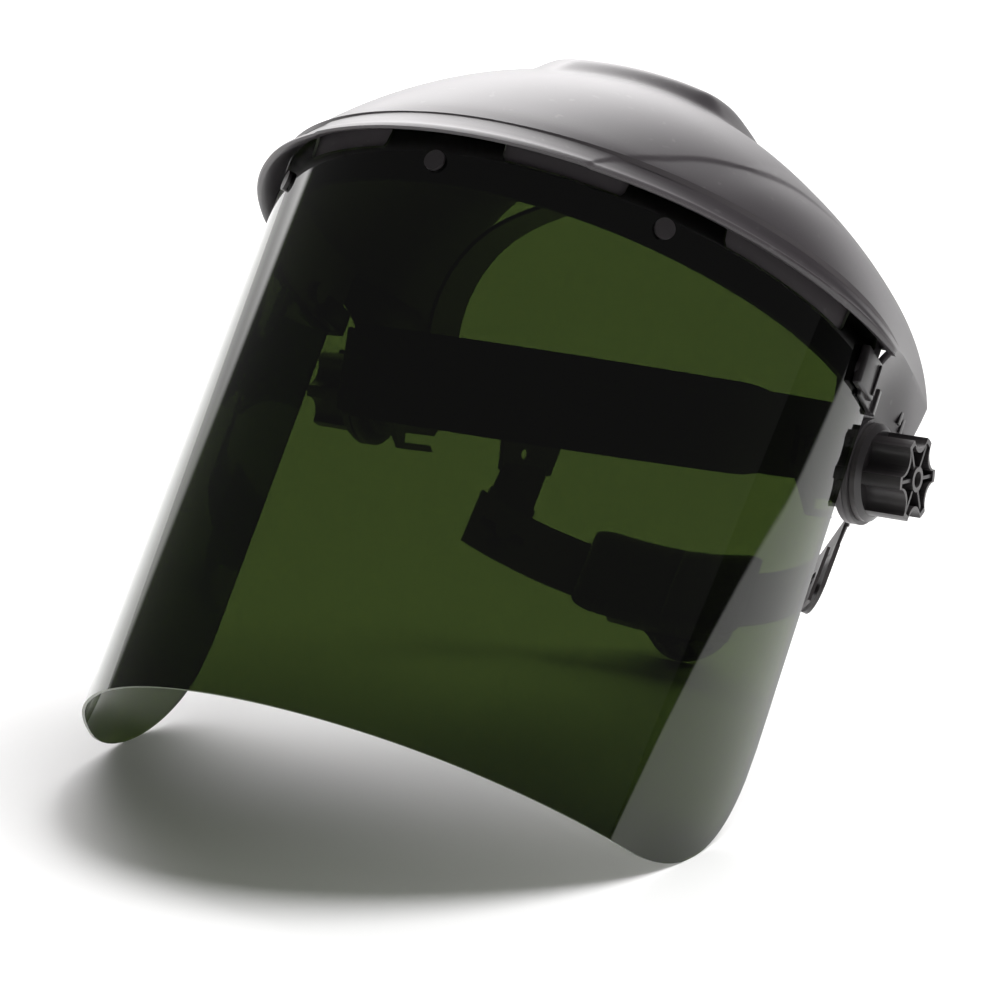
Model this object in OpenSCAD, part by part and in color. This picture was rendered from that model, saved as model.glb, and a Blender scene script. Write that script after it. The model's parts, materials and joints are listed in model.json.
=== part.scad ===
// Industrial face shield: a black crown guard with a dark green window,
// hung by two tension knobs on ratchet headgear.
// It stands as it is laid down: on the window's lower corners and on the nape knob.
// X points to the wearer's left, Y to the wearer's back and Z up.

/* [Window] */
// Height of the window at its mounting tabs
window_h = 203; // [180:1:230]
// Length of the flat sheet that the window is cut from
window_len = 394; // [370:1:400]
// Thickness of the window sheet
window_t = 1.0; // [0.8:0.1:1.5]
// Radius of the window's lower corners
corner_r = 57; // [40:1:65]
// Bending radius of the window's front
front_r = 100; // [98:1:102]
// Bending radius of the window's sides
side_r = 128; // [126:1:130]

/* [Crown guard] */
// Wall thickness of the crown guard
crown_t = 2.4; // [2:0.1:3]
// How far the brim stands out in front of the window
brim_out = 8; // [6:0.5:10]
// Height of the brim above the window's lower edge
brim_z = 195; // [194:0.5:197]
// Half width of the rear arch
arch_w = 98; // [97:0.5:99]
// Height of the rear arch's ends above the window's lower edge
arch_z = 213; // [210:1:216]
// Rise of the rear arch
arch_h = 58; // [54:1:60]
// Height of the raised panel on top of the crown
ridge_h = 8; // [0:1:9]

/* [Headgear] */
// Tilt of the headband against the window's square
head_tilt = 21.7; // [15:0.1:25]
// Height of the headband
band_h = 28; // [24:1:30]
// Thickness of the headband and straps
band_t = 1.6; // [1.4:0.1:2]
// Thickness of the sweatband
pad_t = 5; // [3:0.5:6]
// Height of the nape straps
nape_h = 22; // [20:1:24]
// Radius of the nape straps
nape_r = 84; // [83:1:86]

/* [Knobs] */
// Tip radius of the tension knobs
knob_r = 15; // [13:0.5:16]
// Depth of the tension knobs
knob_d = 18; // [15:0.5:20]
// Number of lobes on a tension knob
knob_lobes = 6; // [5:1:8]
// Radius of the nape ratchet knob
dial_r = 17.5; // [16:0.5:18]

/* [Hidden] */

$fn = 96;
gap = 0.3;      // play between flat faces of pieces that move
run = 0.05;     // radial play of a running fit
eps = 0.02;     // overlap of solids that are one piece

black = [0.16, 0.15, 0.155];
satin = [0.27, 0.25, 0.26];
green = [0.10, 0.15, 0.06, 0.9];
foam = [0.12, 0.12, 0.13];
steel = [0.72, 0.73, 0.75];
brass = [0.78, 0.62, 0.30];

// The window's plan is three tangent arcs. Angle t is 0 at the front and grows to the left.
front_half = 45;
front_cy = front_r - 120;
side_cx = (front_r - side_r) * sin(front_half);
side_cy = front_cy - (front_r - side_r) * cos(front_half);
window_end = front_half + (window_len / 2 - front_r * front_half * PI / 180) / side_r * 180 / PI;
function plan_x(t, off) = abs(t) <= front_half
    ? (front_r + off) * sin(t)
    : sign(t) * side_cx + (side_r + off) * sin(t);
function plan_y(t, off) = abs(t) <= front_half
    ? front_cy - (front_r + off) * cos(t)
    : side_cy - (side_r + off) * cos(t);

// Window fittings
stud_z = window_h - 15.5;
stud_r = 2.2;
stud_angles = [-90, -45, 0, 45, 90];
step_z = window_h - 11;
front_top_z = window_h - 2.4;
clip_z0 = 174.5;
clip_z1 = 189.5;
corner_y = plan_y(window_end, 0) - corner_r;

// Pivot of the headgear, in the window's own axes
pivot_y = 50;
pivot_z = 171.5;

// Stack of parts along the pivot axis, as distances from the middle
ear_x0 = 95.4;
ear_x1 = 98.4;
ear_skin = 98.05;
ear_r = 18.5;
boss_x = 94.6;
spigot_r = 6;
bolt_r = 3;
washer_r = 18.5;
washer_x0 = ear_x1 + gap;
washer_x1 = washer_x0 + 1.6;
knob_x0 = washer_x1 + gap;

// Headband plan: three tangent arcs about the pivot axis's middle
brow_r = 66;
brow_half = 60;
brow_cb = -62;
temple_r = 180;
temple_cx = (brow_r - temple_r) * sin(brow_half);
temple_cb = brow_cb - (brow_r - temple_r) * cos(brow_half);
band_u0 = -6;
band_end = 72;

// Nape straps lie on a cylinder about a tilted axis
nape_tilt = 27.5;
nape_cb = -0.5;
nape_cu = -18.2;
strap_layer = 1.2;
layer_gap = 0.4;
strap_in = nape_r - strap_layer / 2 - layer_gap / 2;
strap_out = strap_in + strap_layer + layer_gap;
strap_end = 58;
strap_tail = 13;
pin_angle = 49;
pin_travel = 5;
pin_slot_r = 2.25;
channel_in = strap_in - 0.3;
channel_out = strap_out + strap_layer + 0.3;
housing_half = 16;
housing_top = channel_out + 4.8;
dial_p0 = housing_top + 0.3;
dial_p1 = dial_p0 + 13;
dial_rim = 3;

// Rack and pinion of the nape ratchet
tooth_module = 1;
pinion_teeth = 10;
pitch_r = tooth_module * pinion_teeth / 2;
tooth_h = 0.9 * tooth_module;
tooth_base = 1.7 * tooth_module;
tooth_tip = 0.5 * tooth_module;
tooth_play = 0.45;
slot_half = pitch_r + 1.5;

// Resting lean: the corner circle of the window and the rim of the nape knob both touch the floor
nape_turn = head_tilt - nape_tilt;
nape_y = pivot_y + nape_cb * cos(head_tilt) - nape_cu * sin(head_tilt);
nape_z = pivot_z + nape_cb * sin(head_tilt) + nape_cu * cos(head_tilt);
function nape_point(p, q) = [
    nape_y + p * cos(nape_turn) - q * sin(nape_turn),
    nape_z + p * sin(nape_turn) + q * cos(nape_turn)
];
foot = nape_point(dial_p1, -dial_r);
heel = nape_point(dial_p1, dial_r);
foot_dy = foot[0] - corner_y;
foot_dz = foot[1] - corner_r;
lean = atan2(foot_dz, foot_dy) + asin(corner_r / norm([foot_dy, foot_dz]));
lift = corner_y * sin(lean) - corner_r * cos(lean) + corner_r;
shift = (120 * cos(lean) - heel[0] * cos(lean) - heel[1] * sin(lean)) / 2;

// Frames: the shield's own axes, the headgear's and the nape straps'
module shield_axes() {
    translate([0, shift, lift]) rotate([-lean, 0, 0]) children();
}
module head_axes() {
    shield_axes() translate([0, pivot_y, pivot_z]) rotate([head_tilt, 0, 0]) children();
}
module nape_axes() {
    head_axes() translate([0, nape_cb, nape_cu]) rotate([-nape_tilt, 0, 0]) children();
}
module both_sides() {
    children();
    mirror([1, 0, 0]) children();
}
module side(s) {
    if (s > 0) children();
    else mirror([1, 0, 0]) children();
}
// A cylinder along X from one distance to another
module along_x(r, x0, x1) {
    translate([x0, 0, 0]) rotate([0, 90, 0]) cylinder(r = r, h = x1 - x0);
}
// A curved wall: radii r0 to r1, heights z0 to z1, plan angles t0 to t1 from the front
module wall(r0, r1, z0, z1, t0, t1) {
    rotate([0, 0, t0 - 90])
        rotate_extrude(angle = t1 - t0)
            translate([r0, z0]) square([r1 - r0, z1 - z0]);
}
// The window's curve as a wall between two offsets
module plan_wall(off0, off1, z0, z1, t_end) {
    translate([0, front_cy, 0])
        wall(front_r + off0, front_r + off1, z0, z1, -front_half, front_half);
    both_sides()
        translate([side_cx, side_cy, 0])
            wall(side_r + off0, side_r + off1, z0, z1, front_half, t_end);
}
// Children placed at plan angle t, with +X pointing outwards through the window
module at_plan(t, z) {
    translate([plan_x(t, 0), plan_y(t, 0), z]) rotate([0, 0, t - 90]) children();
}

// ---- Crown guard: a grid of rows from brim to rear arch, and columns from ear to ear ----
rows = 18;
dome_cols = 40;
ear_cols = 7;
ear_flat = 21.5;
brim_end = 93;
function mix(a, b, k) = a + (b - a) * k;
function brim_rise(t) = 4 * pow(abs(t) / brim_end, 4);
function curve(a, m, b, v) = (1 - v) * (1 - v) * a + 2 * v * (1 - v) * m + v * v * b;
function step(k) = let (c = min(1, max(0, k))) c * c * (3 - 2 * c);
// The raised panel over the overhead strap: it starts at a rounded tip and widens backwards
ridge_half = 32;
ridge_side = 12;
ridge_tip = -72;
ridge_tip_h = 4.4;
ridge_ramp = 22;
function ridge_front(x) = ridge_tip + 36 * pow(abs(x) / 37, 1.3);
function ridge(x, y) =
    mix(ridge_tip_h, ridge_h, step((y + 60) / 60))
    * (1 - step((abs(x) - ridge_half) / ridge_side)) * step((y - ridge_front(x)) / ridge_ramp);
function raw_dome(s, v) =
    let (
        t = s * brim_end,
        w = pow(sin(min(90, abs(t))), 2),
        a = [plan_x(t, brim_out), plan_y(t, brim_out), brim_z + brim_rise(t)],
        b = [arch_w * sin(90 * s), 88 - arch_h * cos(90 * s), arch_z + arch_h * cos(90 * s)],
        m = [mix(a[0], b[0], 0.42), mix(a[1], b[1], mix(0.45, 0.24, w)), mix(a[2], b[2], mix(1.2, 0.81, w))]
    )
    curve(a, m, b, v);
function dome(s, v) = let (p = raw_dome(s, v)) p + [0, 0, ridge(p[0], p[1])];
function ear(g, r, v) =
    let (
        top = raw_dome(1, v),
        low = [pivot_y + (ear_r - 0.3) * (2 * v - 1), pivot_z - 2],
        mid = [mix(27, 84, v), mix(190, 197, v)],
        y = curve(top[1], mid[0], low[0], r),
        z = curve(top[2], mid[1], low[1], r),
        reach = norm([y - pivot_y, z - pivot_z]) - ear_flat,
        k = max(0, reach / (norm([top[1] - pivot_y, top[2] - pivot_z]) - ear_flat))
    )
    [g * (ear_skin + (top[0] - ear_skin) * pow(k, 1.6)), y, z];
function shell(c, v) = abs(c) <= 1 ? dome(c, v) : ear(sign(c), abs(c) - 1, v);
function col(j) = j < ear_cols ? -2 + j / ear_cols
    : j <= ear_cols + dome_cols ? -1 + 2 * (j - ear_cols) / dome_cols
    : 1 + (j - ear_cols - dome_cols) / ear_cols;
cols = dome_cols + 2 * ear_cols;
outer = [for (i = [0:rows]) [for (j = [0:cols]) shell(col(j), i / rows)]];
function unit(a) = a / norm(a);
function inward(i, j) =
    let (
        du = outer[min(rows, i + 1)][j] - outer[max(0, i - 1)][j],
        dw = outer[i][min(cols, j + 1)] - outer[i][max(0, j - 1)]
    )
    unit(cross(du, dw));
inner = [for (i = [0:rows]) [for (j = [0:cols]) outer[i][j] + crown_t * inward(i, j)]];
function id(layer, i, j) = (layer * (rows + 1) + i) * (cols + 1) + j;
function strip(a, b, c, d) = [[a, b, c], [a, c, d]];
crown_points = [
    for (layer = [outer, inner]) for (i = [0:rows]) for (j = [0:cols]) layer[i][j]
];
crown_faces = concat(
    [for (i = [0:rows - 1]) for (j = [0:cols - 1])
        each strip(id(0, i, j), id(0, i + 1, j), id(0, i + 1, j + 1), id(0, i, j + 1))],
    [for (i = [0:rows - 1]) for (j = [0:cols - 1])
        each strip(id(1, i, j), id(1, i, j + 1), id(1, i + 1, j + 1), id(1, i + 1, j))],
    [for (j = [0:cols - 1]) each strip(id(0, 0, j), id(0, 0, j + 1), id(1, 0, j + 1), id(1, 0, j))],
    [for (j = [0:cols - 1])
        each strip(id(0, rows, j + 1), id(0, rows, j), id(1, rows, j), id(1, rows, j + 1))],
    [for (i = [0:rows - 1]) each strip(id(0, i + 1, 0), id(0, i, 0), id(1, i, 0), id(1, i + 1, 0))],
    [for (i = [0:rows - 1])
        each strip(id(0, i, cols), id(0, i + 1, cols), id(1, i + 1, cols), id(1, i, cols))]
);
flange_in = -3.4;
flange_out = -1.2;
flange_z0 = 180.5;
flange_z1 = 205.7;
flange_mid = (flange_in + flange_out) / 2;
shelf_end = window_end - 1;
shelf_angles = [for (k = [-16:16]) shelf_end * k / 16];
function shelf_out(t) = mix(-0.6, 4.6, pow(sin(min(90, abs(t))), 2));

module crown_guard() {
    color(satin) shield_axes() difference() {
        union() {
            polyhedron(points = crown_points, faces = crown_faces, convexity = 6);
            plan_wall(flange_in, flange_out, flange_z0, flange_z1, window_end);
            translate([0, 0, flange_z1 - 2.4])
                linear_extrude(2)
                    polygon(concat(
                        [for (t = shelf_angles) [plan_x(t, shelf_out(t)), plan_y(t, shelf_out(t))]],
                        [for (k = [len(shelf_angles) - 1:-1:0])
                            [plan_x(shelf_angles[k], flange_mid), plan_y(shelf_angles[k], flange_mid)]]
                    ));
            both_sides() translate([0, pivot_y, pivot_z]) along_x(ear_r, ear_x0, ear_x1);
        }
        both_sides() translate([0, pivot_y, pivot_z])
            along_x(spigot_r + run, ear_x0 - 5, ear_x1 + 5);
        for (t = stud_angles) at_plan(t, stud_z) along_x(stud_r + run, -6, 2);
    }
}

module window() {
    color(green) shield_axes() difference() {
        plan_wall(-window_t, 0, 0, window_h, window_end);
        // lower rear corners
        both_sides() difference() {
            translate([70, corner_y, -5]) cube([60, corner_r + 10, corner_r + 5]);
            translate([65, corner_y, corner_r]) rotate([0, 90, 0]) cylinder(r = corner_r, h = 70);
        }
        // the upper edge passes under the dome at the front
        plan_wall(-4, 4, front_top_z, window_h + 5, 50);
        // and is lower between the tabs
        both_sides() {
            translate([0, front_cy, 0])
                wall(front_r - 4, front_r + 4, step_z, window_h + 5, 12, 36);
            translate([side_cx, side_cy, 0])
                wall(side_r - 4, side_r + 4, step_z, window_h + 5, 54, 82);
            // and lower again where the dome comes down to the ear
            translate([side_cx, side_cy, 0])
                wall(side_r - 4, side_r + 4, clip_z1 - 0.3, window_h + 5, 93.5, window_end + 3);
        }
        for (t = stud_angles) at_plan(t, stud_z) {
            if (t == 0) {
                for (y = [-3, 3]) translate([0, y, 0]) along_x(stud_r + 0.3, -4, 4);
                translate([-4, -3, -stud_r - 0.3]) cube([8, 6, 2 * stud_r + 0.6]);
            } else {
                along_x(stud_r + 0.3, -4, 4);
            }
        }
    }
}

// Round-headed studs that hold the window on the crown's inner flange
module window_studs() {
    color(black) shield_axes() for (t = stud_angles) at_plan(t, stud_z) {
        along_x(stud_r, -5.2, 1.4);
        along_x(stud_r + 1.3, 0.1, 1.4);
        along_x(stud_r + 1.6, -5.6, flange_in - 0.1);
    }
}

// Block that grips the window's rear edge behind the brim's end
module side_clip(s) {
    color(black) shield_axes() side(s) translate([side_cx, side_cy, 0]) difference() {
        wall(side_r - 6.2, side_r + 2.6, clip_z0, clip_z1, 92.5, window_end + 1.2);
        wall(side_r + flange_in - 0.1, side_r + 0.2, 170, 205, 60, window_end + 0.15);
    }
}
module side_clip_left() side_clip(1);
module side_clip_right() side_clip(-1);

// ---- Tension knobs and the pivot stack ----
module lobed(r_tip, lobes, h) {
    valley = r_tip * 0.42;
    reach = r_tip * cos(180 / lobes) + valley * 0.62;
    difference() {
        cylinder(r = r_tip, h = h);
        for (k = [0:lobes - 1])
            rotate([0, 0, (k + 0.5) * 360 / lobes]) translate([reach, 0, -1]) cylinder(r = valley, h = h + 2);
    }
}
module on_pivot(s) {
    shield_axes() side(s) translate([0, pivot_y, pivot_z]) rotate([0, 90, 0]) children();
}
module tension_knob(s) {
    wall_t = 1.8;
    face = knob_x0 + knob_d;
    color(black) on_pivot(s) difference() {
        union() {
            translate([0, 0, knob_x0]) cylinder(r = 17, h = 2);
            translate([0, 0, knob_x0 + 2 - eps]) cylinder(r1 = 17, r2 = knob_r, h = 1.6);
            translate([0, 0, knob_x0 + 3]) lobed(knob_r, knob_lobes, knob_d - 3);
        }
        // hollow face with a hub and ribs
        difference() {
            translate([0, 0, face - 5]) lobed(knob_r - wall_t, knob_lobes, 6);
            translate([0, 0, face - 6]) cylinder(r = 4.4, h = 7);
            for (k = [0:knob_lobes - 1])
                rotate([0, 0, k * 360 / knob_lobes]) translate([0, -0.6, face - 6]) cube([knob_r, 1.2, 5.4]);
        }
        translate([0, 0, face - 5.5]) cylinder(r = 2.8, h = 6);
        translate([0, 0, knob_x0 - 1]) cylinder(r = bolt_r + 0.4, h = knob_d - 4);
        translate([0, 0, knob_x0 - 1]) cylinder(r = 5.6, h = 9, $fn = 6);
    }
}
module tension_knob_left() tension_knob(1);
module tension_knob_right() tension_knob(-1);

module knob_insert(s) {
    color(brass) on_pivot(s) difference() {
        translate([0, 0, knob_x0 + 1]) cylinder(r = 5.5, h = 6.8, $fn = 6);
        translate([0, 0, knob_x0]) cylinder(r = bolt_r + run, h = 9);
    }
}
module knob_insert_left() knob_insert(1);
module knob_insert_right() knob_insert(-1);

module ring(r_out, r_in, x0, x1) {
    translate([0, 0, x0]) difference() {
        cylinder(r = r_out, h = x1 - x0);
        translate([0, 0, -1]) cylinder(r = r_in, h = x1 - x0 + 2);
    }
}
module pressure_washer(s) {
    color(black) on_pivot(s) ring(washer_r, spigot_r + run, washer_x0, washer_x1);
}
module pressure_washer_left() pressure_washer(1);
module pressure_washer_right() pressure_washer(-1);

module friction_washer(s) {
    color(foam) on_pivot(s) ring(16, spigot_r + run, boss_x + 0.1, ear_x0 - gap);
}
module friction_washer_left() friction_washer(1);
module friction_washer_right() friction_washer(-1);

module pivot_bolt(s) {
    color(steel) on_pivot(s) {
        translate([0, 0, 76]) cylinder(r = bolt_r, h = knob_x0 + 12 - 76);
        translate([0, 0, 75.6]) cylinder(r = 6.5, h = 2.4);
    }
}
module pivot_bolt_left() pivot_bolt(1);
module pivot_bolt_right() pivot_bolt(-1);

// ---- Headband and what it carries ----
module band_wall(off0, off1, u0, u1, t0) {
    translate([0, brow_cb, 0])
        wall(brow_r + off0, brow_r + off1, u0, u1, -brow_half, brow_half);
    both_sides() temple_wall(off0, off1, u0, u1, brow_half, t0);
}
module temple_wall(off0, off1, u0, u1, t0, t1) {
    translate([temple_cx, temple_cb, 0])
        wall(temple_r + off0, temple_r + off1, u0, u1, t0, t1);
}
// Plan angle at which the temple arc reaches distance b behind the pivot
function temple_at(b) = 90 + asin((b - temple_cb) / temple_r);
function temple_x(b, off) = temple_cx + sqrt(pow(temple_r + off, 2) - pow(b - temple_cb, 2));
band_u1 = band_u0 + band_h;
rivet_u = 14;
strap_b0 = 4;
strap_b1 = 26;

module headband() {
    color(black) head_axes() difference() {
        band_wall(-band_t, 0, band_u0, band_u1, temple_at(band_end));
        both_sides() {
            along_x(bolt_r + 0.1, 60, 90);
            for (b = [-16, 34]) translate([0, b, rivet_u - 8]) along_x(1.6, 60, 90);
            translate([0, (strap_b0 + strap_b1) / 2, rivet_u + 3]) along_x(1.6, 60, 90);
            translate([0, 63, 6]) along_x(1.6, 50, 90);
        }
    }
}

module sweatband() {
    color(foam) head_axes()
        band_wall(-band_t - 0.2 - pad_t, -band_t - 0.2, band_u0 - 1.6, band_u1 + 1.8, temple_at(-35));
}

// Bracket on each temple: pivot boss, spigot and an accessory slot below the band
module pivot_bracket(s) {
    color(black) head_axes() side(s) difference() {
        union() {
            difference() {
                temple_wall(0, 2.2, -18, 12, temple_at(-22), temple_at(40));
                translate([70, 38, -18]) rotate([45, 0, 0]) cube([30, 30, 40], center = true);
                translate([70, -22, -18]) rotate([45, 0, 0]) cube([30, 24, 60], center = true);
            }
            along_x(11, 82, boss_x);
            along_x(14, boss_x - 3, boss_x);
            along_x(spigot_r, boss_x - eps, washer_x1 - 0.2);
        }
        along_x(bolt_r + 0.1, 70, 110);
        translate([70, -3, -15.5]) cube([20, 27, 3.5]);
        for (b = [-16, 34]) translate([0, b, rivet_u - 8]) along_x(1.6, 60, 100);
    }
}
module pivot_bracket_left() pivot_bracket(1);
module pivot_bracket_right() pivot_bracket(-1);

// Overhead strap: a straight tab, a corner arc and a flat top arc, seen along the band's axis
arch_x = 81.6;
arch_u = 26;
arch_turn = 60;
arch_corner = 50;
arch_top = arch_corner + (arch_x - arch_corner) / cos(arch_turn);
arch_top_u = arch_u - (arch_top - arch_corner) * sin(arch_turn);
module arch_wall(cx, cu, r0, r1, a0, a1, b0, b1) {
    translate([cx, b1, cu]) rotate([90, 0, 0])
        rotate([0, 0, a0]) rotate_extrude(angle = a1 - a0) translate([r0, 0]) square([r1 - r0, b1 - b0]);
}
// Angle on the top arc at distance x from the middle
function top_at(x) = acos(x / arch_top);
// A point of the strap's profile: the corner arc up to arch_turn, then the top arc
function arch_point(a, off) = a <= arch_turn
    ? [arch_x - arch_corner + (arch_corner + off) * cos(a), arch_u + (arch_corner + off) * sin(a)]
    : [(arch_top + off) * cos(a), arch_top_u + (arch_top + off) * sin(a)];
arch_angles = [for (k = [0:30]) top_at(12) * k / 30];
module overhead_strap(s) {
    color(black) head_axes() side(s) difference() {
        translate([0, strap_b1, 0]) rotate([90, 0, 0]) linear_extrude(strap_b1 - strap_b0)
            polygon(concat(
                [[arch_x, 12.2], [arch_x + band_t, 12.2]],
                [for (a = arch_angles) arch_point(a, band_t)],
                [for (k = [len(arch_angles) - 1:-1:0]) arch_point(arch_angles[k], 0)]
            ));
        translate([0, (strap_b0 + strap_b1) / 2, rivet_u + 3]) along_x(1.6, 60, 100);
        translate([0, 0, arch_top_u]) rotate([0, 90 - top_at(22), 0])
            translate([0, (strap_b0 + strap_b1) / 2, 60]) cylinder(r = 2.2, h = 70);
    }
}
module overhead_strap_left() overhead_strap(1);
module overhead_strap_right() overhead_strap(-1);

// Adjusting bridge over the two strap ends, with peg holes
bridge_half = 19;
module overhead_bridge() {
    color(black) head_axes() difference() {
        arch_wall(
            0, arch_top_u, arch_top + band_t, arch_top + 2 * band_t,
            90 - bridge_half, 90 + bridge_half, strap_b0 + 1, strap_b1 - 1
        );
        for (x = [-30, -22, -14, 14, 22, 30])
            translate([0, 0, arch_top_u]) rotate([0, 90 - top_at(x), 0])
                translate([0, (strap_b0 + strap_b1) / 2, 60]) cylinder(r = 2.2, h = 70);
    }
}
module overhead_pegs() {
    color(black) head_axes() for (x = [-22, 22])
        translate([0, 0, arch_top_u]) rotate([0, 90 - top_at(x), 0])
            translate([0, (strap_b0 + strap_b1) / 2, 0]) {
                translate([0, 0, arch_top - 0.8]) cylinder(r = 3.6, h = 0.8);
                translate([0, 0, arch_top - 0.8]) cylinder(r = 2.1, h = 5.4);
                translate([0, 0, arch_top + 2 * band_t + 0.1]) cylinder(r = 3, h = 1.3);
            }
}

module rivet(b, u, x0, x1) {
    translate([0, b, u]) {
        along_x(1.5, x0, x1);
        along_x(2.8, x1, x1 + 0.9);
        along_x(2.8, x0 - 0.7, x0);
    }
}
module band_rivets() {
    strap_b = (strap_b0 + strap_b1) / 2;
    color(steel) head_axes() both_sides() {
        for (b = [-16, 34])
            rivet(b, rivet_u - 8, temple_x(b, -band_t) - 0.25, temple_x(b, 2.2) + 0.25);
        rivet(strap_b, rivet_u + 3, temple_x(strap_b, -band_t) - 0.25, arch_x + band_t + 0.1);
        rivet(63, 6, temple_x(63, -band_t) - 0.6, temple_x(63, band_t) + 0.6);
    }
}

// Hanger: riveted to the band's end, it reaches down and inwards to the nape strap's pin
hanger_in = strap_out + strap_layer + 0.35;
hanger_out = hanger_in + band_t;
module hanger(s) {
    color(black) side(s) difference() {
        union() {
            head_axes() intersection() {
                temple_wall(0, band_t, -21, 16, temple_at(40), temple_at(86));
                translate([50, 0, 0]) rotate([90, 0, 90]) linear_extrude(40)
                    polygon([[53, 11], [58, 16], [72, 16], [76, 12], [80, -8], [77, -21], [55, -21]]);
            }
            hull() {
                head_axes() temple_wall(0.25, band_t - 0.25, -20, -18, temple_at(56.5), temple_at(75.5));
                nape_axes()
                    nape_wall(hanger_in + 0.25, hanger_out - 0.25, 12, 14, pin_angle - 6, pin_angle + 6);
            }
            nape_axes() intersection() {
                nape_wall(hanger_in, hanger_out, -11, 15, 36, 60);
                rotate([0, 0, 90 - pin_angle]) union() {
                    along_x(9.9, 60, 100);
                    translate([60, -9.9, 0]) cube([40, 19.8, 30]);
                }
            }
        }
        head_axes() {
            for (u = [-5, -14]) translate([0, 65, u]) along_x(2, 40, 90);
            translate([0, 63, 6]) along_x(1.6, 50, 90);
        }
        nape_axes() rotate([0, 0, 90 - pin_angle]) along_x(2, 80, 100);
    }
}
module hanger_left() hanger(1);
module hanger_right() hanger(-1);

module hanger_pins() {
    color(black) nape_axes() both_sides() rotate([0, 0, 90 - pin_angle]) {
        along_x(1.95, strap_in - 1.2, hanger_out + 0.4);
        along_x(3.4, strap_in - 1.4, strap_in - 0.4);
        along_x(3.4, hanger_out + 0.05, hanger_out + 1.1);
    }
}

// ---- Nape straps and ratchet ----
// Plan angles here grow from the back towards the side
module nape_wall(r0, r1, q0, q1, t0, t1) {
    rotate([0, 0, 90 - t1])
        rotate_extrude(angle = t1 - t0) translate([r0, q0]) square([r1 - r0, q1 - q0]);
}
// One rack tooth, pointing to -Z from the slot's upper edge
module rack_tooth(r0) {
    translate([0, r0, slot_half + eps]) rotate([-90, 0, 0])
        linear_extrude(strap_layer)
            polygon([
                [-tooth_base / 2, 0],
                [tooth_base / 2, 0],
                [tooth_tip / 2, slot_half - pitch_r + tooth_h - tooth_play],
                [-tooth_tip / 2, slot_half - pitch_r + tooth_h - tooth_play]
            ]);
}
// The left strap is the inner layer and the right one the outer
module nape_strap(s) {
    r0 = s > 0 ? strap_in : strap_out;
    tooth_angle = tooth_module * PI / nape_r * 180 / PI;
    pin_from = pin_angle - pin_travel;
    pin_to = pin_angle + pin_travel;
    color(black) nape_axes() side(s) {
        difference() {
            nape_wall(r0, r0 + strap_layer, -nape_h / 2, nape_h / 2, -strap_tail, strap_end);
            nape_wall(r0 - 1, r0 + 3, -slot_half, slot_half, -strap_tail + 3, strap_tail - 3);
            // slot for the hanger pin
            nape_wall(r0 - 1, r0 + 3, -pin_slot_r, pin_slot_r, pin_from, pin_to);
            for (t = [pin_from, pin_to])
                rotate([0, 0, 90 - t]) along_x(pin_slot_r, r0 - 1, r0 + 3);
        }
        for (k = [-4:3]) rotate([0, 0, (k + 0.5) * tooth_angle])
            mirror([0, 0, s > 0 ? 0 : 1]) rack_tooth(r0);
    }
}
module nape_strap_left() nape_strap(1);
module nape_strap_right() nape_strap(-1);

// Children placed on the ratchet's axis, with +Z pointing backwards
module on_dial() {
    nape_axes() rotate([-90, 0, 0]) children();
}
module cover_screw_places() {
    for (x = [-10, 10]) for (y = [-12.7, 12.7]) translate([x, y, 80]) children();
}
module ratchet_housing() {
    color(black) difference() {
        nape_axes() nape_wall(channel_in + eps, housing_top, -14, 14, -housing_half, housing_half);
        nape_axes() nape_wall(channel_in - 2, channel_out, -nape_h / 2 - 0.4, nape_h / 2 + 0.4, -30, 30);
        on_dial() translate([0, 0, 80]) cylinder(r = 4 + run, h = 20);
        on_dial() translate([0, 0, housing_top - 3.4]) cylinder(r = 12.6, h = 10);
        // detent grooves around the spring's pocket
        on_dial() for (k = [0:23]) rotate([0, 0, k * 15])
            translate([12.5, 0, housing_top - 3.4]) cylinder(r = 0.8, h = 10, $fn = 16);
        on_dial() cover_screw_places() cylinder(r = 1.05, h = 9);
    }
}
module ratchet_cover() {
    color(black) difference() {
        nape_axes() nape_wall(channel_in - 1.8, channel_in, -14, 14, -housing_half, housing_half);
        on_dial() translate([0, 0, 78]) cylinder(r = 3 + run, h = 8);
        on_dial() cover_screw_places() cylinder(r = 1.05, h = 9);
    }
}
module ratchet_pinion() {
    gear_p0 = channel_in + gap;
    gear_p1 = channel_out - gap;
    color(steel) on_dial() {
        translate([0, 0, gear_p0]) {
            cylinder(r = pitch_r - 1.1 * tooth_module, h = gear_p1 - gear_p0);
            for (k = [0:pinion_teeth - 1]) rotate([0, 0, k * 360 / pinion_teeth + 90])
                linear_extrude(gear_p1 - gear_p0)
                    polygon([
                        [pitch_r - 1.5, -0.62], [pitch_r, -0.55], [pitch_r + tooth_h, -0.25],
                        [pitch_r + tooth_h, 0.25], [pitch_r, 0.55], [pitch_r - 1.5, 0.62]
                    ]);
        }
        translate([0, 0, gear_p0 - 1.6]) cylinder(r = 3, h = 1.8);
        difference() {
            translate([0, 0, gear_p1 - eps]) cylinder(r = 4, h = housing_top - gear_p1 + 4);
            translate([0, 0, housing_top - 1]) cylinder(r = 1.5, h = 10);
        }
    }
}
module detent_spring() {
    p0 = housing_top - 3.2;
    color(steel) on_dial() translate([0, 0, p0]) {
        difference() {
            cylinder(r = 6.4, h = 2);
            translate([0, 0, -1]) cylinder(r = 4.02, h = 4);
        }
        for (k = [0:2]) rotate([0, 0, k * 120]) {
            rotate_extrude(angle = 75) translate([9.6, 0]) square([0.9, 2]);
            translate([6, -0.6, 0]) cube([4, 1.3, 2]);
            rotate([0, 0, 75]) translate([10.6, 0, 0]) cylinder(r = 1.1, h = 2);
        }
    }
}
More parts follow.
